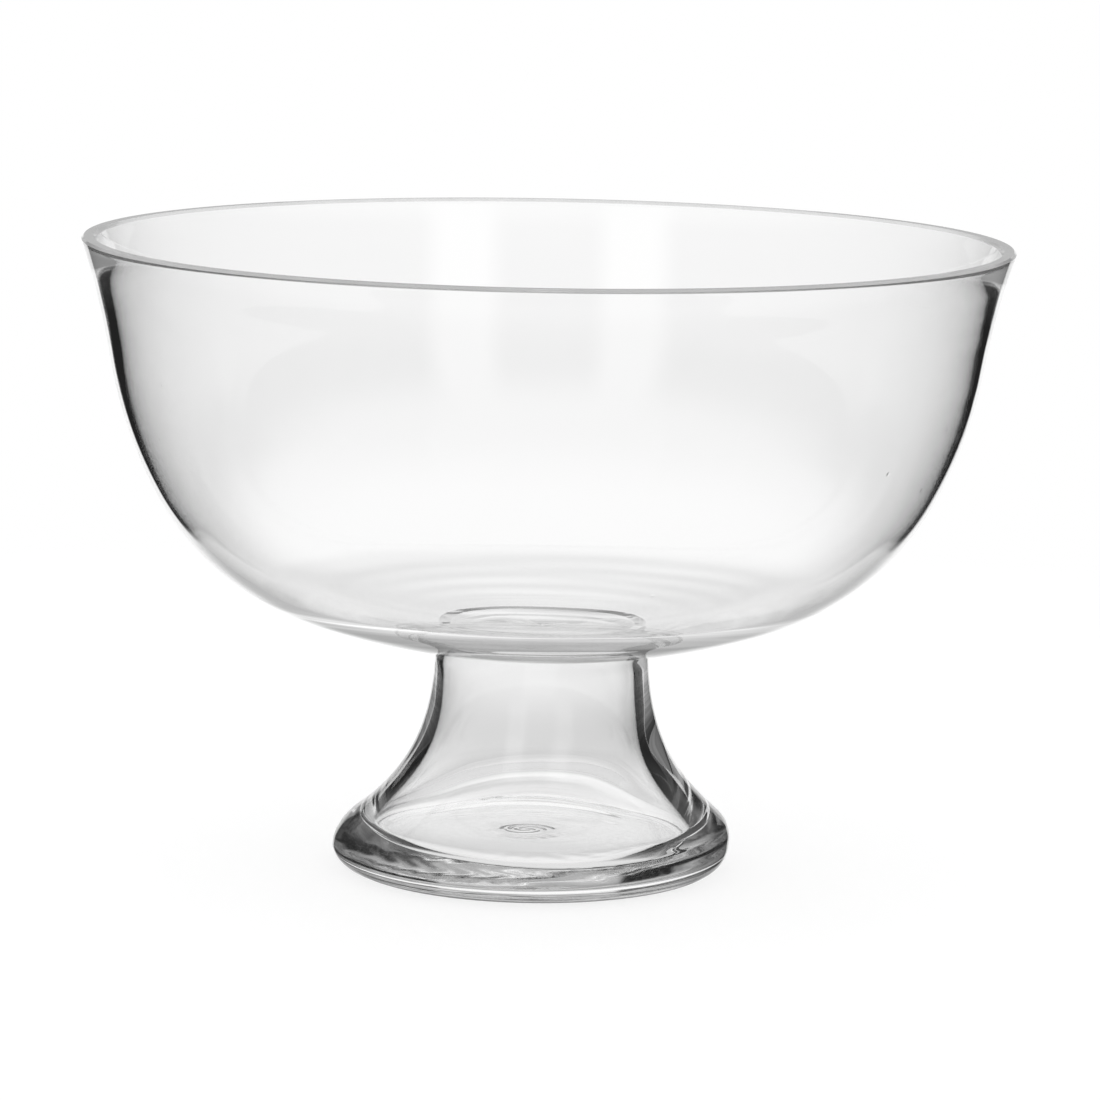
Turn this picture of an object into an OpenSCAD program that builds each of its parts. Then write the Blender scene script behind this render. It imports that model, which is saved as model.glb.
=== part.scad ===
// Footed trifle bowl in clear glass: a blown bowl on a hollow flared stem and a thick base with a round edge.
// The three gathers are stuck together hot, so they meet face to face with no gap.
// Millimetres, +Z up, origin on the table under the centre of the base.

/* [Bowl] */
// Outer diameter across the rim
rim_d = 250; // [220:1:280]
// Height of the rim above the table
overall_h = 171.4; // [155:0.2:190]
// Thickness of the wall at the rim
rim_wall = 3.7; // [3:0.1:6]
// Extra thickness of the wall below the rim, where the lip was reheated and flared
lip_swell = 0.5; // [0:0.1:1]
// Depth of that thickest place below the rim
lip_swell_h = 9; // [5:0.5:15]
// Thickness of the wall where it is thinnest, on the belly
belly_wall = 2.4; // [1.8:0.1:4]
// Thickness of the glass in the middle of the floor
floor_wall = 5.5; // [4:0.1:9]
// Height of the thinnest wall above the underside of the bowl
thin_h = 18; // [12:1:40]
// Width of the ground bevel on each edge of the rim
rim_bevel = 0.6; // [0.2:0.1:1]
// Outward lean of the lip at the rim, in degrees
lip_lean = 18.1; // [12:0.1:24]
// Radius of the lip, which curves outwards
lip_r = 214; // [150:1:300]
// Lean of the wall at its steepest, where the lip starts, in degrees
waist_lean = 9.4; // [4:0.1:11]
// Radius of the wall between waist and belly
wall_r = 117; // [90:1:150]
// Lean of the wall where the belly starts, in degrees
belly_lean = 28; // [20:0.5:36]
// Radius of the belly
belly_r = 70; // [60:1:80]
// Radius of the shallow floor
floor_r = 204; // [170:1:260]

/* [Stem] */
// Outer diameter of the stem where it meets the bowl
stem_d = 58; // [50:0.5:66]
// Thickness of the stem's wall at the bowl
stem_wall = 3.2; // [2:0.1:5]
// Level thickness of the stem's wall where it meets the base
flare_wall = 9.9; // [7:0.1:13]
// Lean of the outside where it runs into the base's round edge, in degrees
flare_lean = 50.7; // [44:0.1:56]
// Length over which the outside leaves the straight throat
throat_pull = 23.3; // [16:0.1:30]
// Length over which the outside runs into the flare
flare_pull = 17.8; // [12:0.1:24]
// Lean of the hollow's side where it passes into the base, in degrees
hollow_lean = 38.8; // [32:0.1:46]
// Length over which the hollow leaves the straight throat
hollow_throat_pull = 30.9; // [24:0.1:36]
// Length over which the hollow runs into the flare
hollow_flare_pull = 13.9; // [8:0.1:20]

/* [Base] */
// Largest outer diameter of the base
base_d = 108.2; // [104:0.2:116]
// Height of the widest part of the base's round edge
edge_h = 6.2; // [5:0.1:8]
// Radius of the base's round edge above its widest part, up to the stem
shoulder = 10.5; // [8:0.1:13]
// Width of the base's round edge below its widest part, down to the table
heel = 7.8; // [5:0.1:10]
// Thickness of the glass under the well, which is the bottom of the hollow
base_floor = 7.1; // [5:0.1:9]
// Radius of the corner between the well's side and its floor
well_round = 2.5; // [1.5:0.1:4]
// Diameter of the polished hollow where the working rod was ground off
pontil_d = 16; // [10:1:30]
// Depth of that hollow
pontil_depth = 0.5; // [0.2:0.1:1.2]

/* [Hidden] */
glass = [0.86, 0.89, 0.89, 0.5];
turn_steps = 144;
curve_steps = 16;

rim_r = rim_d / 2;
rim_z = overall_h - rim_bevel;
stem_r = stem_d / 2;
base_r = base_d / 2;
stand_r = base_r - heel;
pontil_r = pontil_d / 2;

// The stem's outside ends where it touches the base's round edge; there the stem and the base meet.
base_h = edge_h + shoulder * sin(flare_lean);
flare_r = base_r - shoulder * (1 - cos(flare_lean));
well_r = flare_r - flare_wall;

// A direction square to a profile that climbs at the angle a, pointing away from the hollow.
function outward(a) = [sin(a), -cos(a)];

// Arc centres of the bowl's outside, each tangent to the one above it, from the rim down.
lip_a = 90 - lip_lean;
waist_a = 90 - waist_lean;
belly_a = 90 - belly_lean;
lip_c = [rim_r, rim_z] + lip_r * outward(lip_a);
wall_c = lip_c - (lip_r + wall_r) * outward(waist_a);
belly_c = wall_c + (wall_r - belly_r) * outward(belly_a);
floor_a = asin(belly_c.x / (floor_r - belly_r));
floor_c = belly_c - (floor_r - belly_r) * outward(floor_a);
bowl_z = floor_c.y - floor_r;

// The stem sits on a flat pressed into the underside of the bowl.
seat_z = floor_c.y - sqrt(floor_r * floor_r - stem_r * stem_r);

// The lip runs on past the rim, where the bowl is cut off flat.
offcut_a = 2;

// Points [r, z, climb angle] along an arc; side is 1 where the centre is on the hollow's side.
function arc(c, r, a0, a1, side = 1) = [
    for (i = [0 : curve_steps])
        let (a = a0 + (a1 - a0) * i / curve_steps, p = c + side * r * outward(a))
        [p.x, p.y, a]
];
function ease(t) = t * t * (3 - 2 * t);
function mix(a, b, t) = a + (b - a) * ease(max(0, min(1, t)));

// Swelling of the lip at the depth d below the rim: none at the rim, most at lip_swell_h, fading further down.
function swell(d) = let (t = max(0, d) / lip_swell_h) lip_swell * pow(t * exp(1 - t), 2);
// Thickness of the bowl at the height z: thick floor, thin belly, heavier lip.
function bowl_wall(z) = z < bowl_z + thin_h
    ? mix(floor_wall, belly_wall, (z - bowl_z) / thin_h)
    : mix(belly_wall, rim_wall, (z - bowl_z - thin_h) / (overall_h - bowl_z - thin_h)) + swell(overall_h - z);

bowl_outside = concat(
    arc(floor_c, floor_r, 0, floor_a),
    arc(belly_c, belly_r, floor_a, belly_a),
    arc(wall_c, wall_r, belly_a, waist_a),
    arc(lip_c, lip_r, waist_a, lip_a - offcut_a, -1)
);

// Points along a curve between two ends, pulled by two handles.
function curve(p0, p1, p2, p3) = [
    for (i = [0 : curve_steps])
        let (t = i / curve_steps, s = 1 - t)
        s * s * s * p0 + 3 * s * s * t * p1 + 3 * s * t * t * p2 + t * t * t * p3
];
// Side of the stem from the radius r0 at the bowl to r1 at the base, where it leans by the angle a.
function stem_side(r0, r1, a, throat, flare) = curve(
    [r0, seat_z],
    [r0, seat_z - throat],
    [r1, base_h] + flare * [-sin(a), cos(a)],
    [r1, base_h]
);
// The points of a profile without their climb angles.
function plain(pts) = [for (p = pts) [p.x, p.y]];
function reversed(pts) = [for (i = [len(pts) - 1 : -1 : 0]) pts[i]];
function no_doubles(pts) = [for (i = [0 : len(pts) - 1]) if (i == 0 || norm(pts[i] - pts[i - 1]) > 0.001) pts[i]];

// The blown wall between its outside and its hollow.
module bowl_wall_profile() {
    outside = plain(bowl_outside);
    hollow = [for (p = bowl_outside) [p.x, p.y] - bowl_wall(p.y) * outward(p[2])];
    polygon(no_doubles(concat(outside, reversed(hollow))));
}

// What cutting and grinding leave: a flat seat below, and a flat rim with a bevel on each edge.
module bowl_cut_profile() {
    rim_across = rim_wall / cos(lip_lean);
    inner_r = rim_r - rim_across;
    bevel_run = 10;
    polygon([
        [0, seat_z],
        [rim_r, seat_z],
        [rim_r, rim_z],
        [rim_r - rim_bevel, overall_h],
        [inner_r + rim_bevel, overall_h],
        [inner_r + rim_bevel - bevel_run, overall_h - bevel_run],
        [0, overall_h - bevel_run]
    ]);
}

module bowl() {
    color(glass)
        rotate_extrude($fn = turn_steps)
            intersection() {
                bowl_wall_profile();
                bowl_cut_profile();
            }
}

module stem() {
    outside = stem_side(stem_r, flare_r, flare_lean, throat_pull, flare_pull);
    hollow = stem_side(stem_r - stem_wall, well_r, hollow_lean, hollow_throat_pull, hollow_flare_pull);
    color(glass)
        rotate_extrude($fn = turn_steps)
            polygon(concat(outside, reversed(hollow)));
}

module base() {
    lower_edge = [
        for (i = [0 : curve_steps])
            let (t = 90 * i / curve_steps)
            [stand_r + heel * sin(t), edge_h * (1 - cos(t))]
    ];
    upper_edge = plain(arc([base_r - shoulder, edge_h], shoulder, 90, 90 + flare_lean));

    // The well's side runs straight on from the stem's hollow, then turns in to the floor.
    corner_z = base_floor + well_round;
    side_drop = base_h - corner_z - well_round * sin(hollow_lean);
    corner_r = well_r + side_drop * tan(hollow_lean) - well_round * cos(hollow_lean);
    corner = plain(arc([corner_r, corner_z], well_round, 90 + hollow_lean, 0));

    pontil_r_cut = (pontil_r * pontil_r + pontil_depth * pontil_depth) / (2 * pontil_depth);
    color(glass)
        difference() {
            rotate_extrude($fn = turn_steps)
                polygon(no_doubles(concat(
                    [[0, 0]],
                    lower_edge,
                    upper_edge,
                    [[well_r, base_h]],
                    corner,
                    [[0, base_floor]]
                )));
            translate([0, 0, pontil_depth - pontil_r_cut])
                sphere(r = pontil_r_cut, $fn = turn_steps);
        }
}

bowl();
stem();
base();
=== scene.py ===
import math

import bpy
import numpy as np
from mathutils import Matrix


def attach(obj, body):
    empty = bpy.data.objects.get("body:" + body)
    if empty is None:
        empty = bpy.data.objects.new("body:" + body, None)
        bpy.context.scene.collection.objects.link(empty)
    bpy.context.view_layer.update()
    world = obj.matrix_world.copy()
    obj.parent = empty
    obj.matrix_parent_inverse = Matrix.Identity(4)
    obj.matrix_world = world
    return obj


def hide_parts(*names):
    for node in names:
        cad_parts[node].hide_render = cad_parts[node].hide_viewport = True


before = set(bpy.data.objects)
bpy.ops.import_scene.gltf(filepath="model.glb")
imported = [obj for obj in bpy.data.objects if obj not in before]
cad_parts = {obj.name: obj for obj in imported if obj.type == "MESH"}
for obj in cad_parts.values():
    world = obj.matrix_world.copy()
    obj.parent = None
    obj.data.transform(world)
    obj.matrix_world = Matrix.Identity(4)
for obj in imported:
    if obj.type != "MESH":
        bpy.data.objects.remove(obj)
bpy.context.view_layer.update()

# Camera. The photograph looks down a little from in front of the bowl with a long lens, 1.35 m away,
# and it is turned by one degree about the line of sight.
CAMERA_PLACE = (0.00175, -1.354, 0.3036)
CAMERA_PITCH, CAMERA_ROLL = 9.085, 1.05
FOCAL_PX, PHOTO_PX, SENSOR_MM, FAR_CLIP = 5061, 1100, 36, 50
camera_data = bpy.data.cameras.new("camera")
camera_data.sensor_width = SENSOR_MM
camera_data.lens = FOCAL_PX * SENSOR_MM / PHOTO_PX
camera_data.clip_end = FAR_CLIP
camera = bpy.data.objects.new("camera", camera_data)
camera.matrix_world = (
    Matrix.Translation(CAMERA_PLACE)
    @ Matrix.Rotation(math.radians(90 - CAMERA_PITCH), 4, "X")
    @ Matrix.Rotation(math.radians(CAMERA_ROLL), 4, "Z")
)
bpy.context.scene.collection.objects.link(camera)
bpy.context.scene.camera = camera

# Bowl. One gather of clear soda-lime glass, blown and spun open, so its wall thins from the floor to the
# belly and thickens to the lip. The rim is cut off flat and its two edges are ground to narrow bevels.
# Sizes are in mm and leans in degrees; the marks are how far the waves and rings stand proud.
MM = 0.001
RIM_R, OVERALL_H, RIM_BEVEL = 125, 171.4, 0.6
RIM_WALL, BELLY_WALL, FLOOR_WALL, THIN_H = 3.7, 2.4, 5.5, 18
LIP_SWELL, LIP_SWELL_H = 0.5, 9
LIP_LEAN, WAIST_LEAN, BELLY_LEAN = 18.1, 9.4, 28
LIP_R, WALL_R, BELLY_R, FLOOR_R = 214, 117, 70, 204
STEM_R, STEM_WALL = 29, 3.2
BOWL_WAVE, BOWL_RIPPLE, LIP_CHATTER, FLOOR_RING, JACK_MARK = 0.03, 0.008, 0.012, 0.04, 0.02
OUTSIDE_STEPS, INSIDE_STEPS, BOWL_COLS = (50, 24, 20, 24), (80, 28, 24, 56), 288
SHARP_EDGE = math.radians(28)
ON_FACE = 0.01


def outward(climb):
    """Unit vector square to a profile that climbs at this angle in degrees, pointing away from the hollow."""
    climb = np.radians(climb)
    return np.stack([np.sin(climb), -np.cos(climb)], -1)


def ease(t):
    """Cubic step from 0 to 1 as t goes from 0 to 1: 3 t squared less 2 t cubed."""
    t = np.clip(t, 0, 1)
    return t * t * (3 - 2 * t)


def line(start, end, steps):
    """Points on the straight line between two points, both ends included."""
    t = np.linspace(0, 1, steps + 1)[:, None]
    return np.array(start, float) * (1 - t) + np.array(end, float) * t


def joined(*runs):
    """Runs of profile points put end to end, each without the point where the next one starts."""
    return np.concatenate([run[:-1] for run in runs[:-1]] + [runs[-1]])


def run_along(points):
    """Distance of each point from the first one, along the run of points."""
    return np.concatenate([[0], np.cumsum(np.linalg.norm(np.diff(points, axis=0), axis=1))])


def run_to_top(profile):
    """Distance along a profile to its highest point, where the outside ends and the inside begins. The two ends on
    the axis don't count."""
    return run_along(profile[1:-1])[np.argmax(profile[1:-1, 1])]


def waves(rng, count, turns, heights, theta, z):
    """Smooth random field over angle and height: a mean of sines, each with a whole number of waves round
    the piece up to turns and a number of waves per millimetre up to heights, and a random phase."""
    field = 0
    for _ in range(count):
        k, q, phase = rng.integers(1, turns + 1), rng.uniform(-heights, heights), rng.uniform(0, 2 * np.pi)
        field = field + np.sin(k * theta + 2 * np.pi * q * z + phase)
    return field / math.sqrt(count)


def turned(name, profile, work, cols, ring=False):
    """Surface of revolution: profile point (r, z) in mm at the angle theta lies at (r sin, -r cos, z). work(r, z,
    theta, along) gives how far each point stands proud along the profile's outward normal and how far it is
    shifted in x. A profile with both ends on the axis is closed by one point at each pole; a ring's profile is
    joined end to end."""
    body = profile if ring else profile[1:-1]
    rows = len(body)
    theta = 2 * np.pi * np.arange(cols)[None] / cols
    ahead = np.roll(body, -1, 0) - np.roll(body, 1, 0) if ring else np.gradient(body, axis=0)
    ahead = ahead / np.linalg.norm(ahead, axis=1, keepdims=True)
    r, z = body[:, :1], body[:, 1:]
    proud, shift = work(r, z, theta, run_along(body)[:, None])
    out_r, out_z = r + proud * ahead[:, 1:], z - proud * ahead[:, :1]
    grid = np.stack(np.broadcast_arrays(out_r * np.sin(theta) + shift, -out_r * np.cos(theta), out_z), -1)
    points = grid.reshape(-1, 3)
    row, col = np.meshgrid(np.arange(rows if ring else rows - 1), np.arange(cols), indexing="ij")
    at = lambda i, j: (i % rows) * cols + j % cols
    corners = [at(row, col), at(row, col + 1), at(row + 1, col + 1), at(row + 1, col)]
    faces = np.stack(corners, -1).reshape(-1, 4).tolist()
    if not ring:
        spin, low, high = np.arange(cols), len(points), len(points) + 1
        poles = np.array([grid[0].mean(0), grid[-1].mean(0)])
        points = np.concatenate([points, poles])
        faces += np.stack([np.full(cols, low), at(0, spin + 1), at(0, spin)], -1).tolist()
        faces += np.stack([np.full(cols, high), at(rows - 1, spin), at(rows - 1, spin + 1)], -1).tolist()
    mesh = bpy.data.meshes.new(name)
    mesh.from_pydata((points * MM).tolist(), [], faces, shade_flat=False)
    mesh.set_sharp_from_angle(angle=SHARP_EDGE)
    piece = bpy.data.objects.new(name, mesh)
    bpy.context.scene.collection.objects.link(piece)
    return piece


# Arc centres of the outside, each arc tangent to the one above it.
rim_z = OVERALL_H - RIM_BEVEL
lip_climb, waist_climb, belly_climb = 90 - LIP_LEAN, 90 - WAIST_LEAN, 90 - BELLY_LEAN
lip_c = np.array([RIM_R, rim_z]) + LIP_R * outward(lip_climb)
wall_c = lip_c - (LIP_R + WALL_R) * outward(waist_climb)
belly_c = wall_c + (WALL_R - BELLY_R) * outward(belly_climb)
floor_climb = math.degrees(math.asin(belly_c[0] / (FLOOR_R - BELLY_R)))
floor_c = belly_c - (FLOOR_R - BELLY_R) * outward(floor_climb)
bowl_z = floor_c[1] - FLOOR_R
seat_z = floor_c[1] - math.sqrt(FLOOR_R**2 - STEM_R**2)
seat_climb = math.degrees(math.asin(STEM_R / FLOOR_R))


def bowl_wall(z):
    """Wall thickness at a height: eased from the floor's to the belly's over the first stretch, then to the rim's,
    with a swelling below the rim that goes as the square of u exp(1 - u), u being the depth over its own depth."""
    low = FLOOR_WALL + (BELLY_WALL - FLOOR_WALL) * ease((z - bowl_z) / THIN_H)
    high = BELLY_WALL + (RIM_WALL - BELLY_WALL) * ease((z - bowl_z - THIN_H) / (OVERALL_H - bowl_z - THIN_H))
    u = np.maximum(0, OVERALL_H - z) / LIP_SWELL_H
    return np.where(z < bowl_z + THIN_H, low, high + LIP_SWELL * (u * np.exp(1 - u)) ** 2)


def bowl_side(start_climb, steps):
    """Points and climb angles of the outside from a climb angle up to the rim, arc by arc."""
    points, climbs = [], []
    for centre, radius, a0, a1, n in (
        (floor_c, FLOOR_R, start_climb, floor_climb, steps[0]),
        (belly_c, BELLY_R, floor_climb, belly_climb, steps[1]),
        (wall_c, WALL_R, belly_climb, waist_climb, steps[2]),
        (lip_c, -LIP_R, waist_climb, lip_climb, steps[3]),
    ):
        climb = np.linspace(a0, a1, n, endpoint=False)
        points.append(centre + radius * outward(climb))
        climbs.append(climb)
    points.append(np.array([[RIM_R, rim_z]]))
    climbs.append([lip_climb])
    return np.concatenate(points), np.concatenate(climbs)


outside, _ = bowl_side(seat_climb, OUTSIDE_STEPS)
core, core_climb = bowl_side(0, INSIDE_STEPS)
inside = core - bowl_wall(core[:, 1])[:, None] * outward(core_climb)
inside[0, 0] = 0
# Foot of the inner bevel: where its 45 degree slope meets the leaning inner wall, in the last millimetre.
inside = inside[inside[:, 1] < OVERALL_H - 1]
rim_in = RIM_R - RIM_WALL / math.cos(math.radians(LIP_LEAN)) + RIM_BEVEL
lean = math.tan(math.radians(LIP_LEAN))
drop = (rim_in - inside[-1, 0] - (OVERALL_H - inside[-1, 1]) * lean) / (1 - lean)
bevel_foot = [rim_in - drop, OVERALL_H - drop]

bowl_profile = joined(
    line([0, seat_z], [STEM_R - STEM_WALL, seat_z], 12),
    line([STEM_R - STEM_WALL, seat_z], [STEM_R, seat_z], 3),
    outside,
    line([RIM_R, rim_z], [RIM_R - RIM_BEVEL, OVERALL_H], 2),
    line([RIM_R - RIM_BEVEL, OVERALL_H], [rim_in, OVERALL_H], 6),
    line([rim_in, OVERALL_H], bevel_foot, 2),
    np.concatenate([[bevel_foot], inside[::-1]]),
)
bowl_top = run_to_top(bowl_profile)


def bowl_work(r, z, theta, along):
    """Marks of blowing: slow waves that run round and up the wall, a little different inside and outside, rings of
    the jacks on the floor and round the stem's seat, and chatter in the lip at one side. They die out at the
    ground rim and at the seat."""
    rng = np.random.default_rng(7)
    inner = along > bowl_top
    slow_out, slow_in = (waves(rng, 9, 5, 0.014, theta, z) for _ in range(2))
    quick = waves(rng, 14, 16, 0.05, theta, z)
    rings = waves(rng, 12, 2, 0.12, theta, r)
    jacks = waves(rng, 14, 3, 0.4, theta, r)
    chatter = waves(rng, 10, 2, 0.2, theta, z) * ease((np.sin(theta) - 0.8) / 0.15) * ease((z - 110) / 30)
    wall = BOWL_WAVE * np.where(inner, slow_in, slow_out) + BOWL_RIPPLE * quick + LIP_CHATTER * chatter * inner
    floor = np.where(inner, FLOOR_RING * rings * ease((90 - z) / 20), JACK_MARK * jacks * ease((52 - r) / 18))
    clear = ease((OVERALL_H - z) / 14) * np.where(inner, 1, ease((r - STEM_R) / 3))
    return (wall + floor) * clear, 0


bowl = turned("bowl_glass", bowl_profile, bowl_work, BOWL_COLS)

# The bowl's glass. Lengths in the materials are in m, apart from the depth of the skin's waves, which is in mm.
GLASS_IOR = 1.5
SEEDS_PER_M, SEED_CORE, SEED_EDGE, SEED_DEPTH = 40, 0.008, 0.03, 0.06
FINER, FINE_SHARE, DIMMEST = 7, 0.04, 0.992
HAZE, HAZE_STREAK = 0.12, 0.3
# The painted glow that stands in for light led far through the glass: the layers that streak it, the turns after
# which it shows and the top of its height scale.
LAYERS_PER_M, LAYER_STRENGTH = (14, 14, 900), 1.2
LED_TURNS, LED_TOP = 4.5, 0.2
BOWL_SKIN, UNWORN = (0.016, 0.006), (-0.001, -0.002)
# Painted glow levels for the bowl, as pairs of a height in m and the level there.
BOWL_LED = (
    (0.062, 0.3), (0.065, 0.4), (0.0678, 0.6), (0.0692, 0.92), (0.0705, 0.92), (0.0735, 0.5), (0.08, 0.12),
    (0.086, 0.04), (0.154, 0.04), (0.162, 0.4), (0.171, 0.45),
)
STONE_ROUGHNESS, STONE_CLOUDS_PER_M = 0.05, 120


def plug(tree, socket, value):
    """Sets a node's input to a number or a colour, or links another node's output to it."""
    if isinstance(value, bpy.types.NodeSocket):
        tree.links.new(value, socket)
    else:
        socket.default_value = value


def maths(tree, operation, a, b=None):
    """A Math node on one or two values, each a number or another node's output."""
    node = tree.nodes.new("ShaderNodeMath")
    node.operation = operation
    plug(tree, node.inputs[0], a)
    if b is not None:
        plug(tree, node.inputs[1], b)
    return node.outputs[0]


def ranged(tree, value, low, high, at_low, at_high, way="SMOOTHSTEP"):
    """A step of a value, smooth or linear: at_low where it is low or less, at_high where it is high or more."""
    node = tree.nodes.new("ShaderNodeMapRange")
    node.interpolation_type = way
    names = ("Value", "From Min", "From Max", "To Min", "To Max")
    for name, given in zip(names, (value, low, high, at_low, at_high)):
        plug(tree, node.inputs[name], given)
    return node.outputs["Result"]


def mixed(tree, a, b, share, kind="FLOAT"):
    """a where share is 0 and b where it is 1, for numbers or for colours."""
    node = tree.nodes.new("ShaderNodeMix")
    node.data_type = kind
    for name, value in (("A", a), ("B", b), ("Factor", share)):
        plug(tree, node.inputs[name], value)
    return node.outputs["Result"]


def grey(level):
    """An opaque colour whose red, green and blue are all the level."""
    return (level, level, level, 1)


def blown_surface():
    """Node group for hand-worked glass, from object coordinates in metres: slow noise waves with a little finer
    noise, and sparse round seeds where a bubble lies under the skin. Height comes out in mm. Worn places turn
    hazy, the colour dims by a hundredth along the waves, and the last output is noise in thin level layers, which
    streaks the painted glow that stands in for light led far through the glass."""
    tree = bpy.data.node_groups.new("blown_glass_surface", "ShaderNodeTree")
    for socket, kind in (("Vector", "Vector"), ("Wave Size", "Float"), ("Wave Depth", "Float"), ("Wear", "Float")):
        tree.interface.new_socket(socket, in_out="INPUT", socket_type="NodeSocket" + kind)
    for socket, kind in (("Tone", "Color"), ("Roughness", "Float"), ("Height", "Float"), ("Glow Streak", "Float")):
        tree.interface.new_socket(socket, in_out="OUTPUT", socket_type="NodeSocket" + kind)
    given, made = tree.nodes.new("NodeGroupInput").outputs, tree.nodes.new("NodeGroupOutput").inputs

    def noise(vector, scale):
        """Soft noise about 0, between a half below and a half above."""
        node = tree.nodes.new("ShaderNodeTexNoise")
        for socket, value in (("Vector", vector), ("Scale", scale), ("Detail", 1)):
            plug(tree, node.inputs[socket], value)
        return maths(tree, "SUBTRACT", node.outputs[0], 0.5)

    coarse = maths(tree, "DIVIDE", 1, given["Wave Size"])
    slow = noise(given["Vector"], coarse)
    fine = noise(given["Vector"], maths(tree, "MULTIPLY", coarse, FINER))
    # Thin level layers of noise, used only to streak the painted glow in the glass.
    layers = tree.nodes.new("ShaderNodeVectorMath")
    layers.operation = "MULTIPLY"
    plug(tree, layers.inputs[0], given["Vector"])
    plug(tree, layers.inputs[1], LAYERS_PER_M)
    glow_streak = maths(tree, "MULTIPLY", noise(layers.outputs[0], 1), LAYER_STRENGTH)
    plug(tree, made["Glow Streak"], maths(tree, "ADD", glow_streak, 1))
    cells = tree.nodes.new("ShaderNodeTexVoronoi")
    plug(tree, cells.inputs["Scale"], SEEDS_PER_M)
    plug(tree, cells.inputs["Vector"], given["Vector"])
    seed = ranged(tree, cells.outputs["Distance"], SEED_CORE, SEED_EDGE, SEED_DEPTH, 0)
    ripple = maths(tree, "ADD", slow, maths(tree, "MULTIPLY", fine, FINE_SHARE))
    ripple = maths(tree, "MULTIPLY", ripple, given["Wave Depth"])
    plug(tree, made["Height"], maths(tree, "SUBTRACT", ripple, seed))
    haze = maths(tree, "ADD", maths(tree, "MULTIPLY", fine, HAZE_STREAK), HAZE)
    plug(tree, made["Roughness"], maths(tree, "MULTIPLY", haze, given["Wear"]))
    plug(tree, made["Tone"], mixed(tree, grey(1), grey(DIMMEST), maths(tree, "ADD", slow, 0.5), "RGBA"))
    return tree


GLASS_SURFACE = blown_surface()


def glass_shader(name, clear):
    """A new material with its node tree and its shader, which is glass as far as clear goes from 0 to 1."""
    material = bpy.data.materials.new(name)
    material.use_nodes = True
    shader = material.node_tree.nodes["Principled BSDF"]
    shader.inputs["IOR"].default_value = GLASS_IOR
    shader.inputs["Transmission Weight"].default_value = clear
    return material, material.node_tree, shader


def glass_material(name, wave, worn, led):
    """Clear colourless glass with a hand-worked skin and a painted glow. wave is the size in m and depth in mm of
    its waves, worn the two heights in m between which it turns hazy, and led the grey of the painted glow that
    stands in for light led far through the glass, as pairs of a height in m and the level there."""
    material, tree, shader = glass_shader(name, 1)
    place = tree.nodes.new("ShaderNodeTexCoord").outputs["Object"]
    split = tree.nodes.new("ShaderNodeSeparateXYZ")
    plug(tree, split.inputs[0], place)
    height = split.outputs["Z"]
    skin = tree.nodes.new("ShaderNodeGroup")
    skin.node_tree = GLASS_SURFACE
    wear = ranged(tree, height, *worn, 0, 1, "LINEAR")
    for socket, value in (("Vector", place), ("Wave Size", wave[0]), ("Wave Depth", wave[1]), ("Wear", wear)):
        plug(tree, skin.inputs[socket], value)
    bump = tree.nodes.new("ShaderNodeBump")
    plug(tree, bump.inputs["Distance"], MM)
    plug(tree, bump.inputs["Height"], skin.outputs["Height"])
    # Light that turns more corners inside the glass than the render follows ends in a painted glow: the glass there
    # glows with the grey that led gives for its height, streaked in thin layers.
    spent = maths(tree, "GREATER_THAN", tree.nodes.new("ShaderNodeLightPath").outputs["Glossy Depth"], LED_TURNS)
    ramp = tree.nodes.new("ShaderNodeValToRGB")
    plug(tree, ramp.inputs[0], ranged(tree, height, 0, LED_TOP, 0, 1, "LINEAR"))
    stops = ramp.color_ramp.elements
    for z, level in led[1:-1]:
        stops.new(z / LED_TOP)
    for stop, (z, level) in zip(stops, led):
        stop.position, stop.color = z / LED_TOP, grey(level)
    painted_glow = maths(tree, "MULTIPLY", ramp.outputs["Color"], skin.outputs["Glow Streak"])
    for socket, value in (
        ("Base Color", skin.outputs["Tone"]),
        ("Roughness", skin.outputs["Roughness"]),
        ("Normal", bump.outputs["Normal"]),
        ("Emission Color", mixed(tree, grey(0), painted_glow, spent, "RGBA")),
        ("Emission Strength", 1),
    ):
        plug(tree, shader.inputs[socket], value)
    return material


def weld_material():
    """The face where two hot gathers ran together: one body of glass, so light goes straight through it."""
    material = bpy.data.materials.new("fused_joint")
    material.use_nodes = True
    shader = material.node_tree.nodes["Principled BSDF"]
    shader.inputs["Base Color"].default_value = grey(1)
    shader.inputs["Alpha"].default_value = 0
    return material


def ground_material(name, darkest, lightest, clear):
    """Glass left by the grinding stone: grey between two levels in fine clouds, and only partly clear."""
    material, tree, shader = glass_shader(name, clear)
    cloud = tree.nodes.new("ShaderNodeTexNoise")
    plug(tree, cloud.inputs["Scale"], STONE_CLOUDS_PER_M)
    plug(tree, cloud.inputs["Vector"], tree.nodes.new("ShaderNodeTexCoord").outputs["Object"])
    plug(tree, shader.inputs["Base Color"], mixed(tree, grey(darkest), grey(lightest), cloud.outputs[0], "RGBA"))
    plug(tree, shader.inputs["Roughness"], STONE_ROUGHNESS)
    return material


def dress(piece, material, chosen):
    """Gives one more material to the faces that chosen(radius, height) picks, both in mm at the face centres."""
    piece.data.materials.append(material)
    centres = np.empty(len(piece.data.polygons) * 3)
    piece.data.polygons.foreach_get("center", centres)
    centres = centres.reshape(-1, 3) / MM
    picked = chosen(np.hypot(centres[:, 0], centres[:, 1]), centres[:, 2])
    index = np.empty(len(picked), np.int32)
    piece.data.polygons.foreach_get("material_index", index)
    index[picked] = len(piece.data.materials) - 1
    piece.data.polygons.foreach_set("material_index", index)


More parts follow.
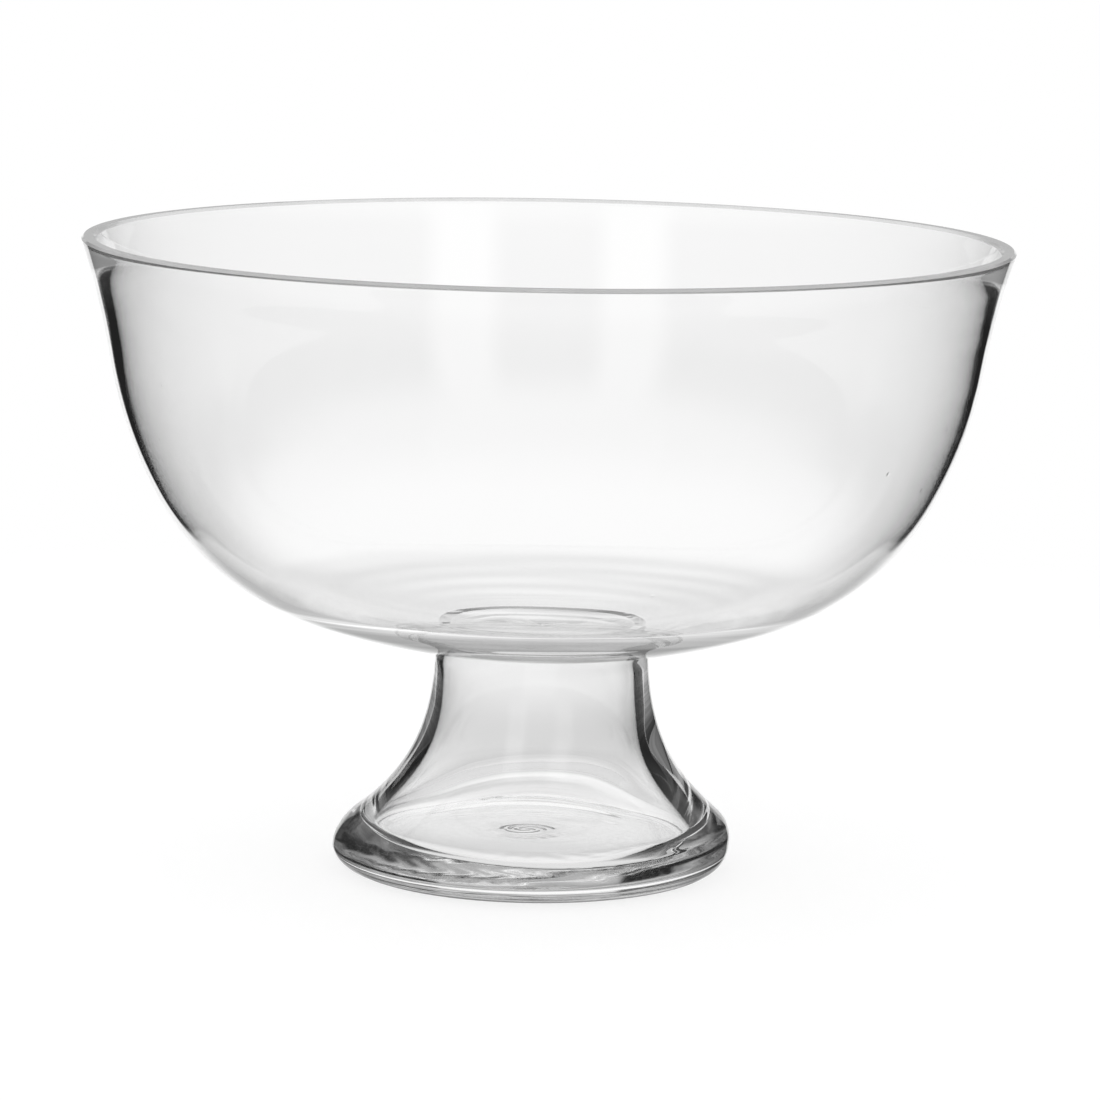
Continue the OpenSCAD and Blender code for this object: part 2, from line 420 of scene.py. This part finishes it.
bowl.data.materials.append(glass_material("bowl_clear_glass", BOWL_SKIN, UNWORN, BOWL_LED))
joint = weld_material()
dress(bowl, joint, lambda r, z: (abs(z - seat_z) < ON_FACE) & (r > STEM_R - STEM_WALL) & (r < STEM_R))
bevels = ground_material("ground_bevels", 0.74, 0.9, 0.42)
dress(bowl, bevels, lambda r, z: (z > min(rim_z, bevel_foot[1])) & ((r < rim_in) | (r > RIM_R - RIM_BEVEL)))
rim_flat = ground_material("ground_rim", 0.72, 0.86, 0.45)
dress(bowl, rim_flat, lambda r, z: z > OVERALL_H - ON_FACE)
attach(bowl, "root")
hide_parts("bowl")

# Stem. A second gather of the same glass, blown hollow and flared, stuck hot to a flat on the bowl's
# underside. Its wall is thin at the bowl and heavy where it runs into the base; the hollow sits off centre.
BASE_R, EDGE_H, SHOULDER, FLARE_WALL = 54.1, 6.2, 10.5, 9.9
FLARE_LEAN, HOLLOW_LEAN = math.radians(50.7), math.radians(38.8)
THROAT_PULL, FLARE_PULL, HOLLOW_THROAT_PULL, HOLLOW_FLARE_PULL = 23.3, 17.8, 30.9, 13.9
THROAT_DRIFT, WELL_DRIFT, EDGE_DRIFT = -0.45, -1.35, -2.4
STEM_WAVE, DRAW_LINE, STEM_STEPS, STEM_COLS = 0.04, 0.005, 64, 288
STEM_SKIN = (0.014, 0.006)
# Painted glow levels for the stem, standing in for light led far through its glass, by height in m.
STEM_LED = ((0.016, 0.04), (0.028, 0.3), (0.04, 0.38), (0.047, 0.65), (0.058, 0.7))
base_h = EDGE_H + SHOULDER * math.sin(FLARE_LEAN)
flare_r = BASE_R - SHOULDER * (1 - math.cos(FLARE_LEAN))
well_r = flare_r - FLARE_WALL


def stem_side(top_r, foot_r, lean, throat, flare):
    """Cubic curve from the bowl down to the base: it leaves upright and arrives at the given lean."""
    ends = np.array([
        [top_r, seat_z],
        [top_r, seat_z - throat],
        [foot_r - flare * math.sin(lean), base_h + flare * math.cos(lean)],
        [foot_r, base_h],
    ])
    t = np.linspace(0, 1, STEM_STEPS + 1)[:, None]
    weights = np.concatenate([(1 - t) ** 3, 3 * (1 - t) ** 2 * t, 3 * (1 - t) * t * t, t**3], 1)
    return weights @ ends


stem_outside = stem_side(STEM_R, flare_r, FLARE_LEAN, THROAT_PULL, FLARE_PULL)
stem_hollow = stem_side(STEM_R - STEM_WALL, well_r, HOLLOW_LEAN, HOLLOW_THROAT_PULL, HOLLOW_FLARE_PULL)
stem_profile = joined(
    stem_hollow,
    line([well_r, base_h], [flare_r, base_h], 4),
    stem_outside[::-1],
    line([STEM_R, seat_z], [STEM_R - STEM_WALL, seat_z], 3),
)[:-1]


def foot_drift(r, z):
    """Sideways drift of stem and base in mm: the hollow leans away from the axis on its way down, the outside
    follows only on the base's round edge, and the glass between them goes from one to the other."""
    hollow = THROAT_DRIFT * ease((seat_z - z) / 5) + WELL_DRIFT * ease((45 - z) / 36)
    outer = EDGE_DRIFT * ease((17.5 - z) / 14)
    low, high = (np.interp(z, side[::-1, 1], side[::-1, 0]) for side in (stem_hollow, stem_outside))
    share = np.where(z < base_h, (r > well_r + 5) | (z < 4), np.clip((r - low) / (high - low), 0, 1))
    return hollow + (outer - hollow) * share


def stem_work(r, z, theta, along):
    """Marks of drawing and flaring: slow waves round the wall and faint upright draw lines, none at the joints."""
    rng = np.random.default_rng(19)
    slow = waves(rng, 9, 4, 0.02, theta, z)
    drawn = waves(rng, 14, 24, 0.008, theta, z)
    clear = ease((seat_z - z) / 5) * ease((z - base_h) / 5)
    return (STEM_WAVE * slow + DRAW_LINE * drawn) * clear, foot_drift(r, z)


stem = turned("stem_glass", stem_profile, stem_work, STEM_COLS, ring=True)
stem.data.materials.append(glass_material("stem_clear_glass", STEM_SKIN, UNWORN, STEM_LED))
dress(stem, joint, lambda r, z: (abs(z - seat_z) < ON_FACE) | (abs(z - base_h) < ON_FACE))
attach(stem, "root")
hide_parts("stem")

# Base. A third, heavy gather pressed against the marver, with a fire-polished round edge, the bottom of the
# hollow above and a small polished pontil hollow below. It stands on a flat ring, which is worn.
HEEL, BASE_FLOOR, WELL_ROUND, PONTIL_R, PONTIL_DEPTH = 7.8, 7.1, 2.5, 8, 0.5
EDGE_WAVE, EDGE_LINE, PRESS_RING, HEEL_RING, CHILL_MARK, HOLLOWING = 0.04, 0.02, 0.008, 0.03, 0.04, 0.12
WELL_WAVE, FOLD_BEND, SWIRL, SWIRL_PITCH = 0.05, 1.6, 0.16, 3.2
FOLDS = ((0.6, 32, 1, 1.1), (-0.35, 37, -1, 1.3))
UNDER_STEPS, WELL_STEPS, BASE_COLS = 76, 90, 336
# The last of these holds the painted glow levels for the base, by height in m.
BASE_SKIN, STAND_WORN, BASE_LED = (0.008, 0.006), (0.0003, 0), ((0.006, 0.05), (0.011, 0.2))


def ellipse(centre, a, b, start, end, steps=24):
    """Arc of an ellipse with level half axis a and upright half axis b, between two angles in radians."""
    t = np.linspace(start, end, steps + 1)
    return np.array(centre) + np.stack([a * np.cos(t), b * np.sin(t)], -1)


stand_r = BASE_R - HEEL
pontil_cut = (PONTIL_R**2 + PONTIL_DEPTH**2) / (2 * PONTIL_DEPTH)
pontil_rs = np.linspace(0, PONTIL_R, 17)
pontil = np.stack([pontil_rs, PONTIL_DEPTH - pontil_cut + np.sqrt(pontil_cut**2 - pontil_rs**2)], -1)
corner_z = BASE_FLOOR + WELL_ROUND
side_drop = base_h - corner_z - WELL_ROUND * math.sin(HOLLOW_LEAN)
corner_r = well_r + side_drop * math.tan(HOLLOW_LEAN) - WELL_ROUND * math.cos(HOLLOW_LEAN)
corner = ellipse([corner_r, corner_z], WELL_ROUND, WELL_ROUND, HOLLOW_LEAN, -math.pi / 2, 16)
base_profile = joined(
    pontil,
    line([PONTIL_R, 0], [stand_r, 0], UNDER_STEPS),
    ellipse([stand_r, EDGE_H], HEEL, EDGE_H, -math.pi / 2, 0),
    ellipse([BASE_R - SHOULDER, EDGE_H], SHOULDER, SHOULDER, 0, FLARE_LEAN),
    line([flare_r, base_h], [well_r, base_h], 4),
    line([well_r, base_h], corner[0], 4),
    corner,
    line([corner_r, BASE_FLOOR], [0, BASE_FLOOR], WELL_STEPS),
)
base_top = run_to_top(base_profile)


def base_work(r, z, theta, along):
    """Marks of pressing and closing: uneven waves and fine rings on the round edge, rings and chill wrinkles on
    the slightly hollow underside, a swirl in the pontil hollow, and on the well's floor long waves and two folds
    near its far side. A fold's height falls off as a bell curve of the distance from a bent circle."""
    rng = np.random.default_rng(23)
    well = along > base_top + 0.5
    edge = EDGE_WAVE * waves(rng, 9, 4, 0.05, theta, along) + EDGE_LINE * waves(rng, 16, 3, 0.4, theta, along)
    edge = edge * ease((base_h - z) / 3)
    rings = (PRESS_RING + HEEL_RING * ease((r - 34) / 5)) * waves(rng, 14, 3, 0.4, theta, r)
    chill = CHILL_MARK * waves(rng, 24, 40, 0.2, theta, r)
    chill = chill * ease((np.cos(theta - 0.45) - 0.6) / 0.3) * ease((r - 26) / 8)
    under = (rings + chill - HOLLOWING) * ease((r - PONTIL_R) / 6) * ease((stand_r + 3 - r) / 6)
    sunk = ease((base_h - z) / 6)
    floor = WELL_WAVE * waves(rng, 10, 5, 0.06, theta, r) * ease((r - 4) / 12) * sunk
    bend = FOLD_BEND * waves(rng, 6, 9, 0, theta, 0)
    far = ease((-np.cos(theta) - 0.45) / 0.4)
    folds = sum(tall * np.exp(-(((r - mid - way * bend) / wide) ** 2)) for tall, mid, way, wide in FOLDS)
    swirl = SWIRL * np.sin(2 * theta + 2 * np.pi * r / SWIRL_PITCH) * ease((PONTIL_R - r) / 3) * ease(r / 2)
    outside = np.where(z < 0.6, np.minimum(under, 0) + swirl, edge)
    return np.where(well, floor + folds * far * sunk, outside), foot_drift(r, z)


base = turned("base_glass", base_profile, base_work, BASE_COLS)
base.data.materials.append(glass_material("base_clear_glass", BASE_SKIN, STAND_WORN, BASE_LED))
dress(base, joint, lambda r, z: abs(z - base_h) < ON_FACE)
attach(base, "root")
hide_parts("base")

# Studio floor. A plain pale disc of matt board that fades into the white surround and keeps the bowl's soft
# shadow. The glass doesn't show it, because the surround has its own floor for what is seen through glass.
DISC_R, DISC_FADE, DISC_Z, DISC_RINGS, DISC_SPOKES = 0.6, 0.3, -0.0002, 24, 96
DISC_COLOUR, DISC_GLOW, DISC_ROUGHNESS = 0.25, 0.8, 0.9
radii = np.linspace(0, DISC_R, DISC_RINGS + 1)[1:, None]
turn = 2 * np.pi * np.arange(DISC_SPOKES)[None] / DISC_SPOKES
disc = np.broadcast_arrays(radii * np.cos(turn), radii * np.sin(turn), DISC_Z + 0 * radii)
disc = np.stack(disc, -1).reshape(-1, 3)
i, j = np.meshgrid(np.arange(DISC_RINGS - 1), np.arange(DISC_SPOKES), indexing="ij")
cell = lambda i, j: i * DISC_SPOKES + j % DISC_SPOKES
disc_faces = np.stack([cell(i, j), cell(i + 1, j), cell(i + 1, j + 1), cell(i, j + 1)], -1).reshape(-1, 4).tolist()
spoke = np.arange(DISC_SPOKES)
disc_faces += np.stack([np.full(DISC_SPOKES, len(disc)), spoke, (spoke + 1) % DISC_SPOKES], -1).tolist()
floor_mesh = bpy.data.meshes.new("floor")
floor_mesh.from_pydata(np.concatenate([disc, [[0, 0, DISC_Z]]]).tolist(), [], disc_faces)
floor = bpy.data.objects.new("floor", floor_mesh)
bpy.context.scene.collection.objects.link(floor)
floor.visible_glossy = False
floor.visible_transmission = False
floor_material = bpy.data.materials.new("pale_floor")
floor_material.use_nodes = True
pale = floor_material.node_tree
away = pale.nodes.new("ShaderNodeVectorMath")
away.operation = "LENGTH"
plug(pale, away.inputs[0], pale.nodes.new("ShaderNodeTexCoord").outputs["Object"])
for socket, value in (
    ("Base Color", grey(DISC_COLOUR)),
    ("Emission Color", grey(1)),
    ("Emission Strength", DISC_GLOW),
    ("Roughness", DISC_ROUGHNESS),
    ("Specular IOR Level", 0),
    ("Alpha", ranged(pale, away.outputs["Value"], DISC_FADE, DISC_R * 0.98, 1, 0)),
):
    plug(pale, pale.nodes["Principled BSDF"].inputs[socket], value)
floor_mesh.materials.append(floor_material)

# Studio light. Soft light comes from all round, with a weak overhead softbox for the shadow. What the glass
# shows of the surround depends on how the light got there: straight, through the glass or mirrored in it.
SOFTBOX_PLACE, SOFTBOX_SIZE, SOFTBOX_WATTS = (-0.15, -0.1, 1.5), 0.9, 1.2
ROOM_LEVEL, FLOOR_LEVEL, SHADE_LEVEL = 0.95, 0.92, 0.7
DARK_LEVEL, TABLE_LEVEL, DEEP_LEVEL = 0.015, 0.75, 0.65
DOME_LEVEL, DOME_SIDE_LEVEL, CEILING_LEVEL, LAMP_LEVEL = 0.45, 0.08, 1.0, 1.0
PANEL_HALF, PANEL_HALF_LOW, CARD_EDGE = 0.32, 0.59, 0.02
softbox_data = bpy.data.lights.new("softbox", "AREA")
softbox_data.shape = "DISK"
softbox_data.size = SOFTBOX_SIZE
softbox_data.energy = SOFTBOX_WATTS
softbox = bpy.data.objects.new("softbox", softbox_data)
softbox.location = SOFTBOX_PLACE
softbox.visible_glossy = False
softbox.visible_transmission = False
bpy.context.scene.collection.objects.link(softbox)

world = bpy.data.worlds.new("studio")
bpy.context.scene.world = world
world.use_nodes = True
sky = world.node_tree


def times(a, b):
    """Product of two values in the surround's nodes."""
    return maths(sky, "MULTIPLY", a, b)


def eased(value, low, high, at_low, at_high):
    """Smooth step in the surround's nodes: at_low below low, at_high above high."""
    return ranged(sky, value, low, high, at_low, at_high)


def laid(under, over, share):
    """under where share is 0, over where it is 1."""
    return mixed(sky, under, over, share)


# A direction in the surround: azimuth from straight ahead of the camera, ahead its cosine, height its upward part.
ray = sky.nodes.new("ShaderNodeLightPath").outputs
where = sky.nodes.new("ShaderNodeSeparateXYZ")
plug(sky, where.inputs[0], sky.nodes.new("ShaderNodeTexCoord").outputs["Generated"])
height = where.outputs["Z"]
azimuth = maths(sky, "ARCTAN2", where.outputs["X"], where.outputs["Y"])
ahead = maths(sky, "COSINE", azimuth)
# Straight through the glass: a white surround, shaded towards the table close behind and pale further down.
backdrop = eased(height, -0.42, -0.2, SHADE_LEVEL, 1)
backdrop = laid(backdrop, FLOOR_LEVEL, eased(height, -0.6, -0.44, 1, 0))
# Mirrored in the glass: four white panels, dimmer above the horizon, far below it, behind and most at the sides.
panel = times(eased(height, -0.01, 0.05, 1, 0.52), eased(height, 0.1, 0.18, 1, 0.6))
facing = maths(sky, "MAXIMUM", eased(ahead, 0.3, 0.9, 0.03, 1), eased(ahead, -0.9, -0.3, 0.3, 0))
panel = times(times(panel, facing), eased(height, -0.42, -0.24, 0.52, 1))
# Dark cards stand between the panels, which widen downwards. aside is the angle from the nearest panel's middle.
aside = maths(sky, "DIVIDE", maths(sky, "ARCCOSINE", maths(sky, "COSINE", times(azimuth, 4))), 4)
beyond = maths(sky, "SUBTRACT", aside, eased(height, -0.5, -0.3, PANEL_HALF_LOW, PANEL_HALF))
room = laid(panel, DARK_LEVEL, eased(beyond, -CARD_EDGE, CARD_EDGE, 0, 1))
# Light that crossed several walls is even.
deep = maths(sky, "GREATER_THAN", ray["Transmission Depth"], 2.5)
room = laid(room, DEEP_LEVEL, times(deep, eased(height, -0.3, -0.1, 0, 1)))
# A pale table below, a dim dome above the panels, a white ceiling, and an upright lamp on each side of the camera.
room = laid(room, TABLE_LEVEL, eased(height, -0.75, -0.45, 1, 0))
room = laid(room, eased(ahead, 0.3, 0.9, DOME_SIDE_LEVEL, DOME_LEVEL), eased(height, 0.2, 0.34, 0, 1))
room = laid(room, CEILING_LEVEL, eased(height, 0.36, 0.62, 0, 1))
lamps = times(eased(ahead, -0.985, -0.945, 0, 1), eased(ahead, -0.88, -0.79, 1, 0))
room = laid(room, LAMP_LEVEL, times(lamps, eased(height, -0.04, 0.12, 0, 1)))
level = laid(ROOM_LEVEL, backdrop, ray["Is Transmission Ray"])
level = laid(level, room, maths(sky, "GREATER_THAN", ray["Glossy Depth"], 0.5))
level = laid(level, 1, ray["Is Camera Ray"])
plug(sky, sky.nodes["Background"].inputs["Color"], grey(1))
plug(sky, sky.nodes["Background"].inputs["Strength"], level)
bpy.context.scene.view_settings.view_transform = "Standard"
